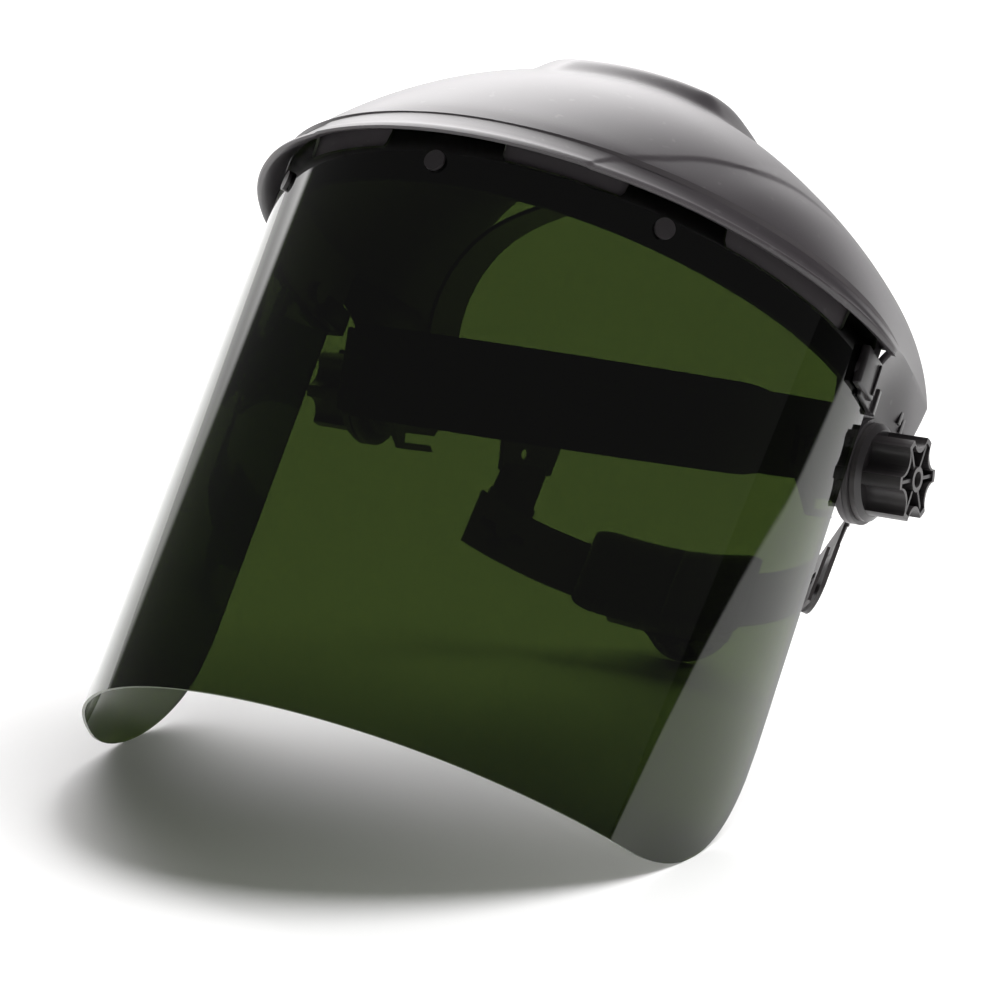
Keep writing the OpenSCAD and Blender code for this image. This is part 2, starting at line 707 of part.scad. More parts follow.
module ratchet_knob() {
    color(black) on_dial() difference() {
        union() {
            translate([0, 0, dial_p0]) difference() {
                cylinder(r = dial_r, h = dial_p1 - dial_p0 - dial_rim);
                for (k = [0:15]) rotate([0, 0, k * 22.5])
                    translate([dial_r + 1.2, 0, -1]) cylinder(r = 2.4, h = 20);
            }
            translate([0, 0, dial_p1 - dial_rim - eps]) cylinder(r = dial_r, h = dial_rim + eps);
        }
        translate([0, 0, dial_p0 - 1]) cylinder(r = 4.05, h = 5);
        translate([0, 0, dial_p0 - 1]) cylinder(r = 1.7, h = 20);
        translate([0, 0, dial_p1 - 4]) cylinder(r = 12.5, h = 10);
        translate([0, 0, dial_p1 - 6]) cylinder(r = 3.4, h = 10);
    }
}
module ratchet_screw() {
    color(steel) on_dial() {
        translate([0, 0, housing_top - 0.8]) cylinder(r = 1.48, h = dial_p1 - 6 - housing_top + 0.9);
        difference() {
            translate([0, 0, dial_p1 - 5.9]) cylinder(r = 3.2, h = 1.8);
            translate([-4, -0.4, dial_p1 - 4.9]) cube([8, 0.8, 2]);
        }
    }
}
module cover_screws() {
    color(steel) on_dial() cover_screw_places() translate([0, 0, 1]) cylinder(r = 1, h = 7.5);
}
module nape_pad() {
    color(foam) nape_axes()
        nape_wall(channel_in - 8, channel_in - 2.1, -17, 17, -26, 26);
}

crown_guard();
window();
window_studs();
side_clip_left();
side_clip_right();
tension_knob_left();
tension_knob_right();
knob_insert_left();
knob_insert_right();
pressure_washer_left();
pressure_washer_right();
friction_washer_left();
friction_washer_right();
pivot_bolt_left();
pivot_bolt_right();
pivot_bracket_left();
pivot_bracket_right();
headband();
sweatband();
overhead_strap_left();
overhead_strap_right();
overhead_bridge();
overhead_pegs();
band_rivets();
hanger_left();
hanger_right();
hanger_pins();
nape_strap_left();
nape_strap_right();
ratchet_housing();
ratchet_cover();
ratchet_pinion();
detent_spring();
ratchet_knob();
ratchet_screw();
cover_screws();
nape_pad();
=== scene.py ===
"""Looks of an industrial face shield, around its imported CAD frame.

Shapes are worked out in mm in the shield's, the headgear's or the nape's own axes, and mesh_object turns them
into metres.
"""
import json
import math

import bmesh
import bpy
import numpy as np
from mathutils import Matrix, Vector


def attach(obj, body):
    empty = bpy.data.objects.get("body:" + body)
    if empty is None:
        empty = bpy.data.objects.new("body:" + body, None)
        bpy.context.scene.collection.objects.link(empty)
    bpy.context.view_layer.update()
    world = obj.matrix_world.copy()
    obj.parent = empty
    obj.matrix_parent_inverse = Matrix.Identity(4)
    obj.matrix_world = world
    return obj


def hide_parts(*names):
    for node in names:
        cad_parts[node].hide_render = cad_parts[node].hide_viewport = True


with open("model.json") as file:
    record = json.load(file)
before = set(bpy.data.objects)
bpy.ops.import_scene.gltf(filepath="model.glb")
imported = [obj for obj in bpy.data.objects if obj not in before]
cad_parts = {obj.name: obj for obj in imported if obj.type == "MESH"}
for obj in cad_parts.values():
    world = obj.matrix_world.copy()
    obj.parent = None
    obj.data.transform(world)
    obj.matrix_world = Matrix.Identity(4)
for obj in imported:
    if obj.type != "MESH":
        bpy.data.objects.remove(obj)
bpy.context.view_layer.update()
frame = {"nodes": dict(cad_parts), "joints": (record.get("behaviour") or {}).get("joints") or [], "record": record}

JOINTS = {j["name"]: j for j in frame["joints"]}
NODES = frame["nodes"]

# ---------------------------------------------------------------- frames
LEAN = math.radians(35.1403)
HEAD_TILT = math.radians(21.7)
NAPE_TILT = math.radians(27.5)
PIVOT_S = np.array([0.0, 50.0, 171.5])
PIVOT_W = np.array(JOINTS["shield_tilt"]["pos_m"]) * 1000
NAPE_W = np.array(JOINTS["nape_slide_left"]["pos_m"]) * 1000


def about_x(angle):
    c, s = math.cos(angle), math.sin(angle)
    return np.array([[1, 0, 0], [0, c, -s], [0, s, c]])


R_SHIELD = about_x(-LEAN)
R_HEAD = about_x(HEAD_TILT - LEAN)
R_NAPE = about_x(HEAD_TILT - NAPE_TILT - LEAN)


def from_shield(p):
    return (np.asarray(p, float) - PIVOT_S) @ R_SHIELD.T + PIVOT_W


def from_head(p):
    return np.asarray(p, float) @ R_HEAD.T + PIVOT_W


def from_nape(p):
    return np.asarray(p, float) @ R_NAPE.T + NAPE_W


# ---------------------------------------------------------------- camera
CAM_AT = np.array([607.1, -1069.3, -265.2])
CAM_RIGHT = np.array([0.868, 0.383, 0.3154])
CAM_BACK = np.array([0.474, -0.828, -0.299])
CAM_LENS = 136.1


def make_camera():
    back = CAM_BACK / np.linalg.norm(CAM_BACK)
    right = CAM_RIGHT - back * (CAM_RIGHT @ back)
    right /= np.linalg.norm(right)
    up = np.cross(back, right)
    axes = R_SHIELD @ np.stack([right, up, back], axis=1)
    m = Matrix.Identity(4)
    for i in range(3):
        for j in range(3):
            m[i][j] = axes[i, j]
    m.translation = Vector(from_shield(CAM_AT) / 1000)
    data = bpy.data.cameras.new("camera")
    data.lens = CAM_LENS
    data.sensor_width = 36.0
    data.clip_end = 50.0
    cam = bpy.data.objects.new("camera", data)
    cam.matrix_world = m
    bpy.context.scene.collection.objects.link(cam)
    bpy.context.scene.camera = cam


make_camera()


# ---------------------------------------------------------------- node helpers
def new_material(name):
    m = bpy.data.materials.new(name)
    m.use_nodes = True
    nt = m.node_tree
    nt.nodes.clear()
    out = nt.nodes.new("ShaderNodeOutputMaterial")
    return m, nt, out


def add(nt, kind, inputs=None, **attrs):
    n = nt.nodes.new(kind)
    for k, v in attrs.items():
        setattr(n, k, v)
    for k, v in (inputs or {}).items():
        if isinstance(v, bpy.types.NodeSocket):
            nt.links.new(v, n.inputs[k])
        else:
            n.inputs[k].default_value = v
    return n


def ramp(nt, fac, stops):
    n = add(nt, "ShaderNodeValToRGB", {"Fac": fac})
    el = n.color_ramp.elements
    while len(el) < len(stops):
        el.new(0.5)
    for e, (pos, col) in zip(el, stops):
        e.position = pos
        e.color = (*col, 1) if len(col) == 3 else col
    return n.outputs["Color"]


def noise(nt, co, scale, detail, roughness=0.5):
    inputs = {"Vector": co, "Scale": scale, "Detail": detail, "Roughness": roughness}
    return add(nt, "ShaderNodeTexNoise", inputs).outputs["Fac"]


def bump(nt, height, strength, depth):
    return add(nt, "ShaderNodeBump", {"Height": height, "Strength": strength, "Distance": depth}).outputs[0]


def calc(nt, operation, a, b):
    return add(nt, "ShaderNodeMath", {0: a, 1: b}, operation=operation).outputs[0]


def spread(nt, value, low, high):
    """Stretch a value of 0 to 1 over low to high."""
    return add(nt, "ShaderNodeMapRange", {"Value": value, "To Min": low, "To Max": high}).outputs[0]


def ease(nt, value, start, end, low=0.0, high=1.0):
    """Go smoothly from low to high as a value goes from start to end."""
    inputs = {"Value": value, "From Min": start, "From Max": end, "To Min": low, "To Max": high}
    return add(nt, "ShaderNodeMapRange", inputs, interpolation_type="SMOOTHSTEP").outputs[0]


def mix_colours(nt, share, a, b):
    return add(nt, "ShaderNodeMix", {0: share, 6: a, 7: b}, data_type="RGBA").outputs[2]


def mix_shaders(nt, share, a, b):
    return add(nt, "ShaderNodeMixShader", {0: share, 1: a.outputs[0], 2: b.outputs[0]}).outputs[0]


def principled(nt, colour, roughness, **more):
    """Principled shader. The names in more have _ where the sockets have a space."""
    inputs = {"Base Color": colour, "Roughness": roughness}
    inputs.update({k.replace("_", " "): v for k, v in more.items()})
    return add(nt, "ShaderNodeBsdfPrincipled", inputs)


def object_place(nt):
    return add(nt, "ShaderNodeTexCoord").outputs["Object"]


def grey(v):
    return (v, v, v)


def plastic(name, base, edge_wear_and_glint, rough, grain=900.0, relief=0.04, haze=14.0, specular=0.5, dust=0.0):
    """Moulded plastic: spark-eroded grain, slow drift of gloss, paler rubbed edges; on the window rim the paler
    colour and edges are a painted highlight.
    """
    m, nt, out = new_material(name)
    co = object_place(nt)
    slow = noise(nt, co, haze, 4.0, 0.55)
    pointed = add(nt, "ShaderNodeNewGeometry").outputs["Pointiness"]
    edge = ramp(nt, pointed, [(0.52, grey(0.0)), (0.60, grey(1.0))])
    mottled = ramp(nt, slow, [(0.3, base), (0.72, tuple(c * 1.35 + 0.002 for c in base))])
    col = mix_colours(nt, edge, mottled, (*edge_wear_and_glint, 1))
    if dust:
        pick = ramp(nt, noise(nt, co, 260.0, 1.0), [(0.70, grey(0.0)), (0.76, grey(dust))])
        col = mix_colours(nt, pick, col, (0.3, 0.29, 0.28, 1))
    p = principled(nt, col, spread(nt, slow, rough - 0.05, rough + 0.07), Specular_IOR_Level=specular,
                   Normal=bump(nt, noise(nt, co, grain, 3.0, 0.6), relief, 0.0004))
    nt.links.new(p.outputs[0], out.inputs[0])
    return m


def metal(name, base, rough, scale=(40.0, 900.0, 900.0)):
    """Turned metal: fine streaks in its colour, gloss and relief."""
    m, nt, out = new_material(name)
    stretched = add(nt, "ShaderNodeMapping", {"Vector": object_place(nt), "Scale": scale}).outputs[0]
    streaks = noise(nt, stretched, 1.0, 4.0)
    col = ramp(nt, streaks, [(0.3, tuple(c * 0.82 for c in base)), (0.7, base)])
    p = principled(nt, col, spread(nt, streaks, rough - 0.06, rough + 0.1), Metallic=1.0,
                   Normal=bump(nt, streaks, 0.08, 0.0002))
    nt.links.new(p.outputs[0], out.inputs[0])
    return m


def cloth(name, base, pale):
    """Brushed knit over foam: crossed fine waves, fuzz and a soft sheen."""
    m, nt, out = new_material(name)
    co = object_place(nt)
    rib = {"Vector": co, "Scale": 420.0, "Distortion": 1.2, "Detail": 2.0}
    ribs = [add(nt, "ShaderNodeTexWave", rib, bands_direction=axis).outputs["Fac"] for axis in ("X", "Z")]
    knit = calc(nt, "MULTIPLY", *ribs)
    pile = calc(nt, "ADD", knit, noise(nt, co, 1500.0, 3.0))
    col = ramp(nt, pile, [(0.35, base), (1.0, pale)])
    p = principled(nt, col, 0.92, Normal=bump(nt, pile, 0.5, 0.0005), Sheen_Weight=0.35, Sheen_Roughness=0.4)
    nt.links.new(p.outputs[0], out.inputs[0])
    return m


def window_material(name, tint):
    """Tinted sheet: each of its two faces passes the root of its colour and mirrors by Schlick's law."""
    m, nt, out = new_material(name)
    co = object_place(nt)
    root = tuple(math.sqrt(c) for c in tint)
    col = ramp(nt, noise(nt, co, 5.0, 2.0), [(0.3, root), (0.7, tuple(c * 1.03 for c in root))])
    clear = add(nt, "ShaderNodeBsdfTransparent", {"Color": col})
    facing = add(nt, "ShaderNodeLayerWeight", {"Blend": 0.5}).outputs["Facing"]
    share = spread(nt, calc(nt, "POWER", facing, 5.0), 0.045, 1.0)
    waves = bump(nt, noise(nt, co, 16.0, 1.0), 0.03, 0.002)
    gloss = add(nt, "ShaderNodeBsdfGlossy", {"Color": (1, 1, 1, 1), "Roughness": 0.03, "Normal": waves})
    nt.links.new(mix_shaders(nt, share, clear, gloss), out.inputs[0])
    return m


CROWN = plastic("crown_black", (0.030, 0.026, 0.029), (0.075, 0.068, 0.072), 0.36, grain=1400.0, relief=0.05,
                haze=9.0, dust=0.08)
KNOB = plastic("knob_black", (0.020, 0.018, 0.019), (0.06, 0.055, 0.056), 0.34, grain=1200.0, relief=0.03)
NYLON = plastic("nylon_black", (0.018, 0.016, 0.017), (0.05, 0.046, 0.048), 0.42, grain=1000.0, relief=0.04)
BAND = plastic("headgear_black", (0.022, 0.019, 0.020), (0.055, 0.05, 0.05), 0.40, grain=700.0, relief=0.05)
FIBRE = plastic("fibre_rubber", (0.02, 0.02, 0.02), (0.04, 0.04, 0.04), 0.8, grain=2000.0, relief=0.3)
STEEL = metal("zinc_steel", (0.62, 0.63, 0.66), 0.28)
BRASS = metal("brass_nut", (0.72, 0.52, 0.22), 0.3)
PAD = cloth("brow_cloth", (0.010, 0.010, 0.011), (0.045, 0.043, 0.045))
GREEN = window_material("green_sheet", (0.0205, 0.033, 0.0062))
STUD = plastic("stud_black", (0.010, 0.009, 0.010), (0.04, 0.036, 0.038), 0.30, grain=900.0, relief=0.03)
# painted highlight: the sheet's cut edges are an opaque paler green, paler still at their sharp corners, standing
# in for the bright glint along the rim
PAINTED_RIM_GLINT = plastic("window_rim_painted_glint", (0.05, 0.062, 0.04), (0.25, 0.28, 0.22), 0.12, grain=300.0, relief=0.02,
              specular=0.8)

SLOT_LOOK = {
    "crown_black": CROWN, "green_sheet": GREEN, "nylon_black": NYLON, "knob_black": KNOB,
    "headgear_black": BAND, "brass_nut": BRASS, "fibre_rubber": FIBRE, "zinc_steel": STEEL, "brow_pad": PAD,
}
for part in frame["record"]["subparts"]:
    node = NODES[part["node"]]
    look = STUD if part["node"] == "window_studs" else SLOT_LOOK[part["material_slot"]]
    if not node.material_slots:
        node.data.materials.append(look)
    for s in node.material_slots:
        s.material = look


# ---------------------------------------------------------------- mesh helpers
def mesh_object(name, verts_mm, faces, looks, body, replaces=(), smooth=True, face_look=None):
    me = bpy.data.meshes.new(name)
    me.from_pydata([tuple(v) for v in np.asarray(verts_mm) / 1000], [], [tuple(f) for f in faces])
    for look in looks:
        me.materials.append(look)
    if face_look is not None:
        me.polygons.foreach_set("material_index", np.asarray(face_look, dtype=np.int32))
    me.validate()
    ob = bpy.data.objects.new(name, me)
    bpy.context.scene.collection.objects.link(ob)
    bm = bmesh.new()
    bm.from_mesh(me)
    bmesh.ops.recalc_face_normals(bm, faces=bm.faces)
    bm.to_mesh(me)
    bm.free()
    if smooth:
        me.polygons.foreach_set("use_smooth", [True] * len(me.polygons))
        me.set_sharp_from_angle(angle=math.radians(38))
    me.update()
    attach(ob, body)
    if replaces:
        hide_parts(*replaces)
    return ob


def slab(outer, inner):
    """A closed sheet from two matching grids of points: verts and quads."""
    rows, cols = outer.shape[:2]
    verts = np.concatenate([outer.reshape(-1, 3), inner.reshape(-1, 3)])

    def at(layer, i, j):
        return layer * rows * cols + i * cols + j

    faces, kind = [], []
    for i in range(rows - 1):
        for j in range(cols - 1):
            faces.append((at(0, i, j), at(0, i, j + 1), at(0, i + 1, j + 1), at(0, i + 1, j)))
            faces.append((at(1, i, j), at(1, i + 1, j), at(1, i + 1, j + 1), at(1, i, j + 1)))
            kind += [0, 0]
    for j in range(cols - 1):
        faces.append((at(0, 0, j), at(1, 0, j), at(1, 0, j + 1), at(0, 0, j + 1)))
        faces.append((at(0, rows - 1, j), at(0, rows - 1, j + 1), at(1, rows - 1, j + 1), at(1, rows - 1, j)))
        kind += [1, 1]
    for i in range(rows - 1):
        faces.append((at(0, i, 0), at(0, i + 1, 0), at(1, i + 1, 0), at(1, i, 0)))
        faces.append((at(0, i, cols - 1), at(1, i, cols - 1), at(1, i + 1, cols - 1), at(0, i + 1, cols - 1)))
        kind += [1, 1]
    return verts, faces, kind


def normals_of(grid):
    du = np.gradient(grid, axis=0)
    dw = np.gradient(grid, axis=1)
    n = np.cross(du, dw)
    return n / (np.linalg.norm(n, axis=-1, keepdims=True) + 1e-9)


def mix(a, b, k):
    return a + (b - a) * k


def step(k):
    c = np.clip(k, 0.0, 1.0)
    return c * c * (3 - 2 * c)


# ---------------------------------------------------------------- window curve
FRONT_R, SIDE_R, FRONT_HALF, FRONT_Y = 100.0, 128.0, 45.0, -120.0
FRONT_CY = FRONT_R + FRONT_Y
SIDE_CX = (FRONT_R - SIDE_R) * math.sin(math.radians(FRONT_HALF))
SIDE_CY = FRONT_CY - (FRONT_R - SIDE_R) * math.cos(math.radians(FRONT_HALF))
WINDOW_LEN, WINDOW_T, WINDOW_H, CORNER_R = 394.0, 1.0, 203.0, 57.0
TAB_H, EAR_DROP, EAR_DROP_FROM = 11.0, 14.0, 93.3
FRONT_TOP, FRONT_TOP_HALF = WINDOW_H - 2.4, 50
FRONT_LEN = FRONT_R * math.radians(FRONT_HALF)
WINDOW_END = FRONT_HALF + math.degrees((WINDOW_LEN / 2 - FRONT_LEN) / SIDE_R)


def plan(t, off):
    """Point of the window's plan curve at angle t from the front, off outwards."""
    t = np.asarray(t, float)
    a = np.radians(t)
    front = np.abs(t) <= FRONT_HALF
    x = np.where(front, (FRONT_R + off) * np.sin(a), np.sign(t) * SIDE_CX + (SIDE_R + off) * np.sin(a))
    y = np.where(front, FRONT_CY - (FRONT_R + off) * np.cos(a), SIDE_CY - (SIDE_R + off) * np.cos(a))
    return x, y


def make_window():
    """The sheet is a grid in its flat outline, with rounded lower corners and a stepped top edge."""
    end_y = float(plan(WINDOW_END, 0)[1])
    ts = np.linspace(-WINDOW_END, WINDOW_END, 361)
    x, y = plan(ts, 0)
    cy = end_y - CORNER_R
    inside = np.clip((y - cy) / CORNER_R, 0, 1)
    low = CORNER_R - CORNER_R * np.sqrt(np.clip(1 - inside ** 2, 0, 1))
    at = np.abs(ts)
    between_tabs = ((at > 12) & (at < 36)) | ((at > 54) & (at < 82))
    ramped = np.convolve(np.pad(between_tabs.astype(float), 1, mode="edge"), [0.25, 0.5, 0.25], "valid")
    top = WINDOW_H - TAB_H * step(ramped) - EAR_DROP * step((at - EAR_DROP_FROM) / 0.5)
    top = np.where(at < FRONT_TOP_HALF, np.minimum(top, FRONT_TOP), top)
    rows = np.concatenate([[0, 0.003, 0.01], np.linspace(0.025, 0.975, 40), [0.99, 0.997, 1.0]])
    z = low[None, :] + (top - low)[None, :] * rows[:, None]
    xo, yo = plan(ts, 0)
    xi, yi = plan(ts, -WINDOW_T)
    outer = np.stack([np.broadcast_to(xo, z.shape), np.broadcast_to(yo, z.shape), z], -1)
    inner = np.stack([np.broadcast_to(xi, z.shape), np.broadcast_to(yi, z.shape), z], -1)
    verts, faces, kind = slab(outer, inner)
    # the edge faces take the rim material with its painted highlight
    mesh_object("window_sheet", from_shield(verts), faces, [GREEN, PAINTED_RIM_GLINT], "shield", ["window"],
                face_look=kind)


make_window()

# ---------------------------------------------------------------- crown
CROWN_T, BRIM_OUT, BRIM_Z, BRIM_END = 2.4, 8.0, 195.0, 93.0
ARCH_W, ARCH_Z, ARCH_H = 98.0, 213.0, 58.0
EAR_SKIN, EAR_R, EAR_FLAT = 98.05, 18.5, 21.5
EAR_X0, EAR_X1, EAR_BORE_R = 95.4, 98.4, 6.05


def curve(a, m, b, v):
    return (1 - v) ** 2 * a + 2 * v * (1 - v) * m + v * v * b


def raw_dome(s, v):
    s, v = np.broadcast_arrays(np.asarray(s, float), np.asarray(v, float))
    t = s * BRIM_END
    w = np.sin(np.radians(np.minimum(90, np.abs(t)))) ** 2
    ax, ay = plan(t, BRIM_OUT)
    az = BRIM_Z + 4 * (np.abs(t) / BRIM_END) ** 4
    ph = np.radians(90 * s)
    bx, by, bz = ARCH_W * np.sin(ph), 88 - ARCH_H * np.cos(ph), ARCH_Z + ARCH_H * np.cos(ph)
    mx, my, mz = mix(ax, bx, 0.42), mix(ay, by, mix(0.45, 0.24, w)), mix(az, bz, mix(1.2, 0.81, w))
    return np.stack([curve(ax, mx, bx, v), curve(ay, my, by, v), curve(az, mz, bz, v)], -1)


def hood(x, y):
    """Height of the raised panel over the overhead strap: it starts at a rounded tip and widens backwards."""
    front = -72 + 36 * (np.abs(x) / 37) ** 1.3
    tall = mix(4.4, 8.0, step((y + 60) / 60))
    return tall * (1 - step((np.abs(x) - 33.5) / 8.5)) * step((y - front) / 16)


def ear(r, v):
    """The ear on the left, r from 0 at the dome to 1 at the pivot's height."""
    top = raw_dome(np.ones_like(v), v)
    low_y, low_z = PIVOT_S[1] + (EAR_R - 0.3) * (2 * v - 1), PIVOT_S[2] - 2
    y = curve(top[..., 1], mix(27, 84, v), low_y, r)
    z = curve(top[..., 2], mix(190, 197, v), low_z, r)
    reach = np.hypot(y - PIVOT_S[1], z - PIVOT_S[2]) - EAR_FLAT
    full = np.hypot(top[..., 1] - PIVOT_S[1], top[..., 2] - PIVOT_S[2]) - EAR_FLAT
    x = EAR_SKIN + (top[..., 0] - EAR_SKIN) * np.clip(reach / full, 0, None) ** 1.6
    return np.stack([x, y, z], -1)


CREASE = np.array([[0.285, -0.02], [0.308, 0.037], [0.323, 0.065], [0.355, 0.098], [0.395, 0.147],
                   [0.433, 0.225], [0.480, 0.315], [0.512, 0.408], [0.545, 0.52], [0.60, 0.64], [0.68, 0.76]])


def crease_depth(s, v):
    """The flank panel lies under a line that leaves the brim at the front and sweeps back."""
    a = np.abs(s)
    line = np.interp(a, CREASE[:, 0], CREASE[:, 1], left=-0.2)
    below = line - v
    sharp = step(below / 0.03)
    fade = 1 - step(below / 0.42)
    tail = 1 - step((a - 0.52) / 0.14)
    return 0.4 * sharp * fade * tail * step((a - 0.283) / 0.03)


def make_crown():
    # columns crowd near the creases and the hood's walls
    s = np.unique(np.round(np.concatenate([np.linspace(-1, 1, 201), np.linspace(0.27, 0.5, 60),
                                           -np.linspace(0.27, 0.5, 60)]), 5))
    v = np.unique(np.round(np.concatenate([np.linspace(0, 1, 81), np.linspace(0, 0.12, 20)]), 5))
    sg, vg = np.meshgrid(s, v)
    base = raw_dome(sg, vg)
    base[..., 2] += hood(base[..., 0], base[..., 1])
    n_in = normals_of(base)
    lip = 0.9 * np.exp(-((vg - 0.0) / 0.012) ** 2)
    cove = 0.55 * np.exp(-((vg - 0.05) / 0.03) ** 2)
    base = base + n_in * (crease_depth(sg, vg) + cove - lip)[..., None]
    r = np.linspace(0, 1, 25)[1:]
    rg, ve = np.meshgrid(r, v)
    left = ear(rg, ve)
    right = left[:, ::-1].copy()
    right[..., 0] *= -1
    outer = np.concatenate([right, base, left], axis=1)
    n_in = normals_of(outer)
    inner = outer + n_in * CROWN_T
    # the outermost rows lean together, so that the rims look rounded
    for k, back in ((0, 0.9), (1, 0.25)):
        for row in (k, -1 - k):
            outer[row] += n_in[row] * back * 0.8
            inner[row] -= n_in[row] * back * 0.8
    verts, faces, _ = slab(outer, inner)
    mesh_object("crown_shell", from_shield(verts), faces, [CROWN], "shield", ["crown_guard"])


def swept(name, profile_at, ts):
    """A solid whose section at each plan angle is profile_at's closed list of (offset, z)."""
    sections = []
    for t in ts:
        prof = np.asarray(profile_at(t), float)
        x, y = plan(t, prof[:, 0])
        sections.append(np.stack([x, y, prof[:, 1]], -1))
    g = np.stack(sections)
    n, k = g.shape[:2]
    faces = [(i * k + j, i * k + (j + 1) % k, (i + 1) * k + (j + 1) % k, (i + 1) * k + j)
             for i in range(n - 1) for j in range(k)]
    faces += [tuple(range(k)), tuple((n - 1) * k + j for j in reversed(range(k)))]
    mesh_object(name, from_shield(g.reshape(-1, 3)), faces, [CROWN], "shield")


FLANGE_IN, FLANGE_OUT, FLANGE_MID, FLANGE_TOP, FLANGE_ROUND = -3.4, -1.2, -2.3, 205.7, 181.6
SHELF_Z, SHELF_T = 203.3, 2.0


def shelf_out(t):
    """Offset of the shelf's outer edge: it reaches further out at the sides."""
    return mix(-0.6, 4.6, math.sin(math.radians(min(90, abs(t)))) ** 2)


def make_flange():
    """The wall that carries the window's studs, and the shelf that joins it to the dome."""
    ts = np.linspace(-WINDOW_END, WINDOW_END, 241)
    foot = [(FLANGE_IN, FLANGE_ROUND), (FLANGE_IN + 0.2, 180.7), (FLANGE_MID, 180.5)]
    wall = [(FLANGE_OUT - 0.05, 180.9), (FLANGE_OUT, FLANGE_ROUND), (FLANGE_OUT, FLANGE_TOP),
            (FLANGE_IN, FLANGE_TOP)] + foot
    swept("crown_flange", lambda t: wall, ts)
    low, high = SHELF_Z, SHELF_Z + SHELF_T
    swept("crown_shelf", lambda t: [(FLANGE_MID, low), (shelf_out(t), low), (shelf_out(t), high),
                                    (FLANGE_MID, high)], ts)


def make_ear_disc(sign):
    """Round boss of the ear about the pivot, with its bore."""
    n = 96
    soft = 0.6
    prof = [(EAR_BORE_R, EAR_X0), (EAR_R - soft, EAR_X0), (EAR_R, EAR_X0 + soft), (EAR_R, EAR_X1 - soft),
            (EAR_R - soft, EAR_X1), (EAR_BORE_R, EAR_X1)]
    verts, faces = [], []
    for i in range(n):
        a = 2 * math.pi * i / n
        for r, x in prof:
            verts.append((sign * x, PIVOT_S[1] + r * math.cos(a), PIVOT_S[2] + r * math.sin(a)))
    k = len(prof)
    for i in range(n):
        this, after = i * k, (i + 1) % n * k
        for j in range(k):
            faces.append((this + j, this + (j + 1) % k, after + (j + 1) % k, after + j))
    side = "left" if sign > 0 else "right"
    mesh_object("crown_ear_boss_" + side, from_shield(verts), faces, [CROWN], "shield")


make_crown()
make_flange()
make_ear_disc(1)
make_ear_disc(-1)


def block(name, points, look, body, replaces=(), bevel=0.7):
    """A bevelled hexahedron from eight corners, the lower four first."""
    faces = [(0, 3, 2, 1), (4, 5, 6, 7), (0, 1, 5, 4), (1, 2, 6, 5), (2, 3, 7, 6), (3, 0, 4, 7)]
    ob = mesh_object(name, points, faces, [look], body, replaces)
    if bevel:
        bm = bmesh.new()
        bm.from_mesh(ob.data)
        bmesh.ops.bevel(bm, geom=list(bm.edges), offset=bevel / 1000, segments=3, profile=0.5, affect="EDGES")
        bm.to_mesh(ob.data)
        bm.free()
        ob.data.polygons.foreach_set("use_smooth", [True] * len(ob.data.polygons))
        ob.data.set_sharp_from_angle(angle=math.radians(38))
    return ob


CLIP_Z0, CLIP_Z1, CLIP_T0, CLIP_INNER_T0 = 180.0, 189.5, 91.0, 92.6
CLIP_END = WINDOW_END + 0.15
GRIP_Z0, GRIP_Z1, GRIP_T0, GRIP_T1 = 181.5, 195.5, 88.4, 95.4
# each block's ranges of plan angle, offset and height, how far its lower front leans back, and its bevel
CLIP_BLOCKS = {
    "cheek": ((CLIP_T0, CLIP_END + 1.2), (0.15, 1.8), (CLIP_Z0, CLIP_Z1), 0.7, 0.5),
    "grip": ((GRIP_T0, GRIP_T1), (0.15, 3.4), (GRIP_Z0, GRIP_Z1), 0.3, 0.9),
    "inner": ((CLIP_INNER_T0, CLIP_END + 1.2), (-6.2, -3.5), (CLIP_Z0, CLIP_Z1), 0.0, 0.7),
    "back": ((CLIP_END, CLIP_END + 1.25), (-6.0, 2.7), (CLIP_Z0 + 0.1, CLIP_Z1 - 0.1), 0.0, 0.4),
    "rib": ((GRIP_T1 - 1.5, GRIP_T1 - 0.9), (3.1, 4.0), (GRIP_Z0 + 1.5, GRIP_Z1 - 1.5), 0.0, 0.3),
}


def make_clip(sign):
    """Block that grips the window's rear edge: a thick grip under the brim, between two cheeks and a back."""
    side = "left" if sign > 0 else "right"
    for name, ((t0, t1), (o0, o1), heights, lean, bevel) in CLIP_BLOCKS.items():
        pts = []
        for z, cut in zip(heights, (lean, 0.0)):
            for t, o in ((t0 + cut, o0), (t1, o0), (t1, o1), (t0 + cut, o1)):
                x, y = plan(t, o)
                pts.append((sign * float(x), float(y), z))
        stands_for = ["side_clip_" + side] if name == "cheek" else ()
        block("side_clip_%s_%s" % (name, side), from_shield(pts), STUD, "shield", stands_for,
              bevel)


# y, z and half length of each mark
EAR_MARKS = [(63.0, 199.0, 3.2), (67.0, 197.2, 3.2), (71.5, 194.0, 2.4)]
EAR_MARK_HALF_W, EAR_MARK_IN, EAR_MARK_OUT = 1.2, 1.0, 0.35


def make_ear_marks(sign):
    """Three short plain slots, raised a little from the ear behind the knob."""
    side = "left" if sign > 0 else "right"
    section = [(-EAR_MARK_IN, -EAR_MARK_HALF_W), (EAR_MARK_OUT, -EAR_MARK_HALF_W),
               (EAR_MARK_OUT, EAR_MARK_HALF_W), (-EAR_MARK_IN, EAR_MARK_HALF_W)]
    for i, (y, z, half) in enumerate(EAR_MARKS):
        x = ear_skin_at(y, z)
        pts = [(sign * (x + a), y + b, z + c) for c in (-half, half) for a, b in section]
        block("ear_mark_%s_%d" % (side, i), from_shield(pts), STUD, "shield", bevel=0.25)


def ear_skin_at(y, z):
    """Outer x of the ear at a height, read from its own surface."""
    rg, vg = np.meshgrid(np.linspace(0, 1, 60), np.linspace(0, 1, 60))
    g = ear(rg, vg)
    d = np.hypot(g[..., 1] - y, g[..., 2] - z)
    return float(g[..., 0].flat[int(np.argmin(d))])


for side_sign in (1, -1):
    make_clip(side_sign)
    make_ear_marks(side_sign)

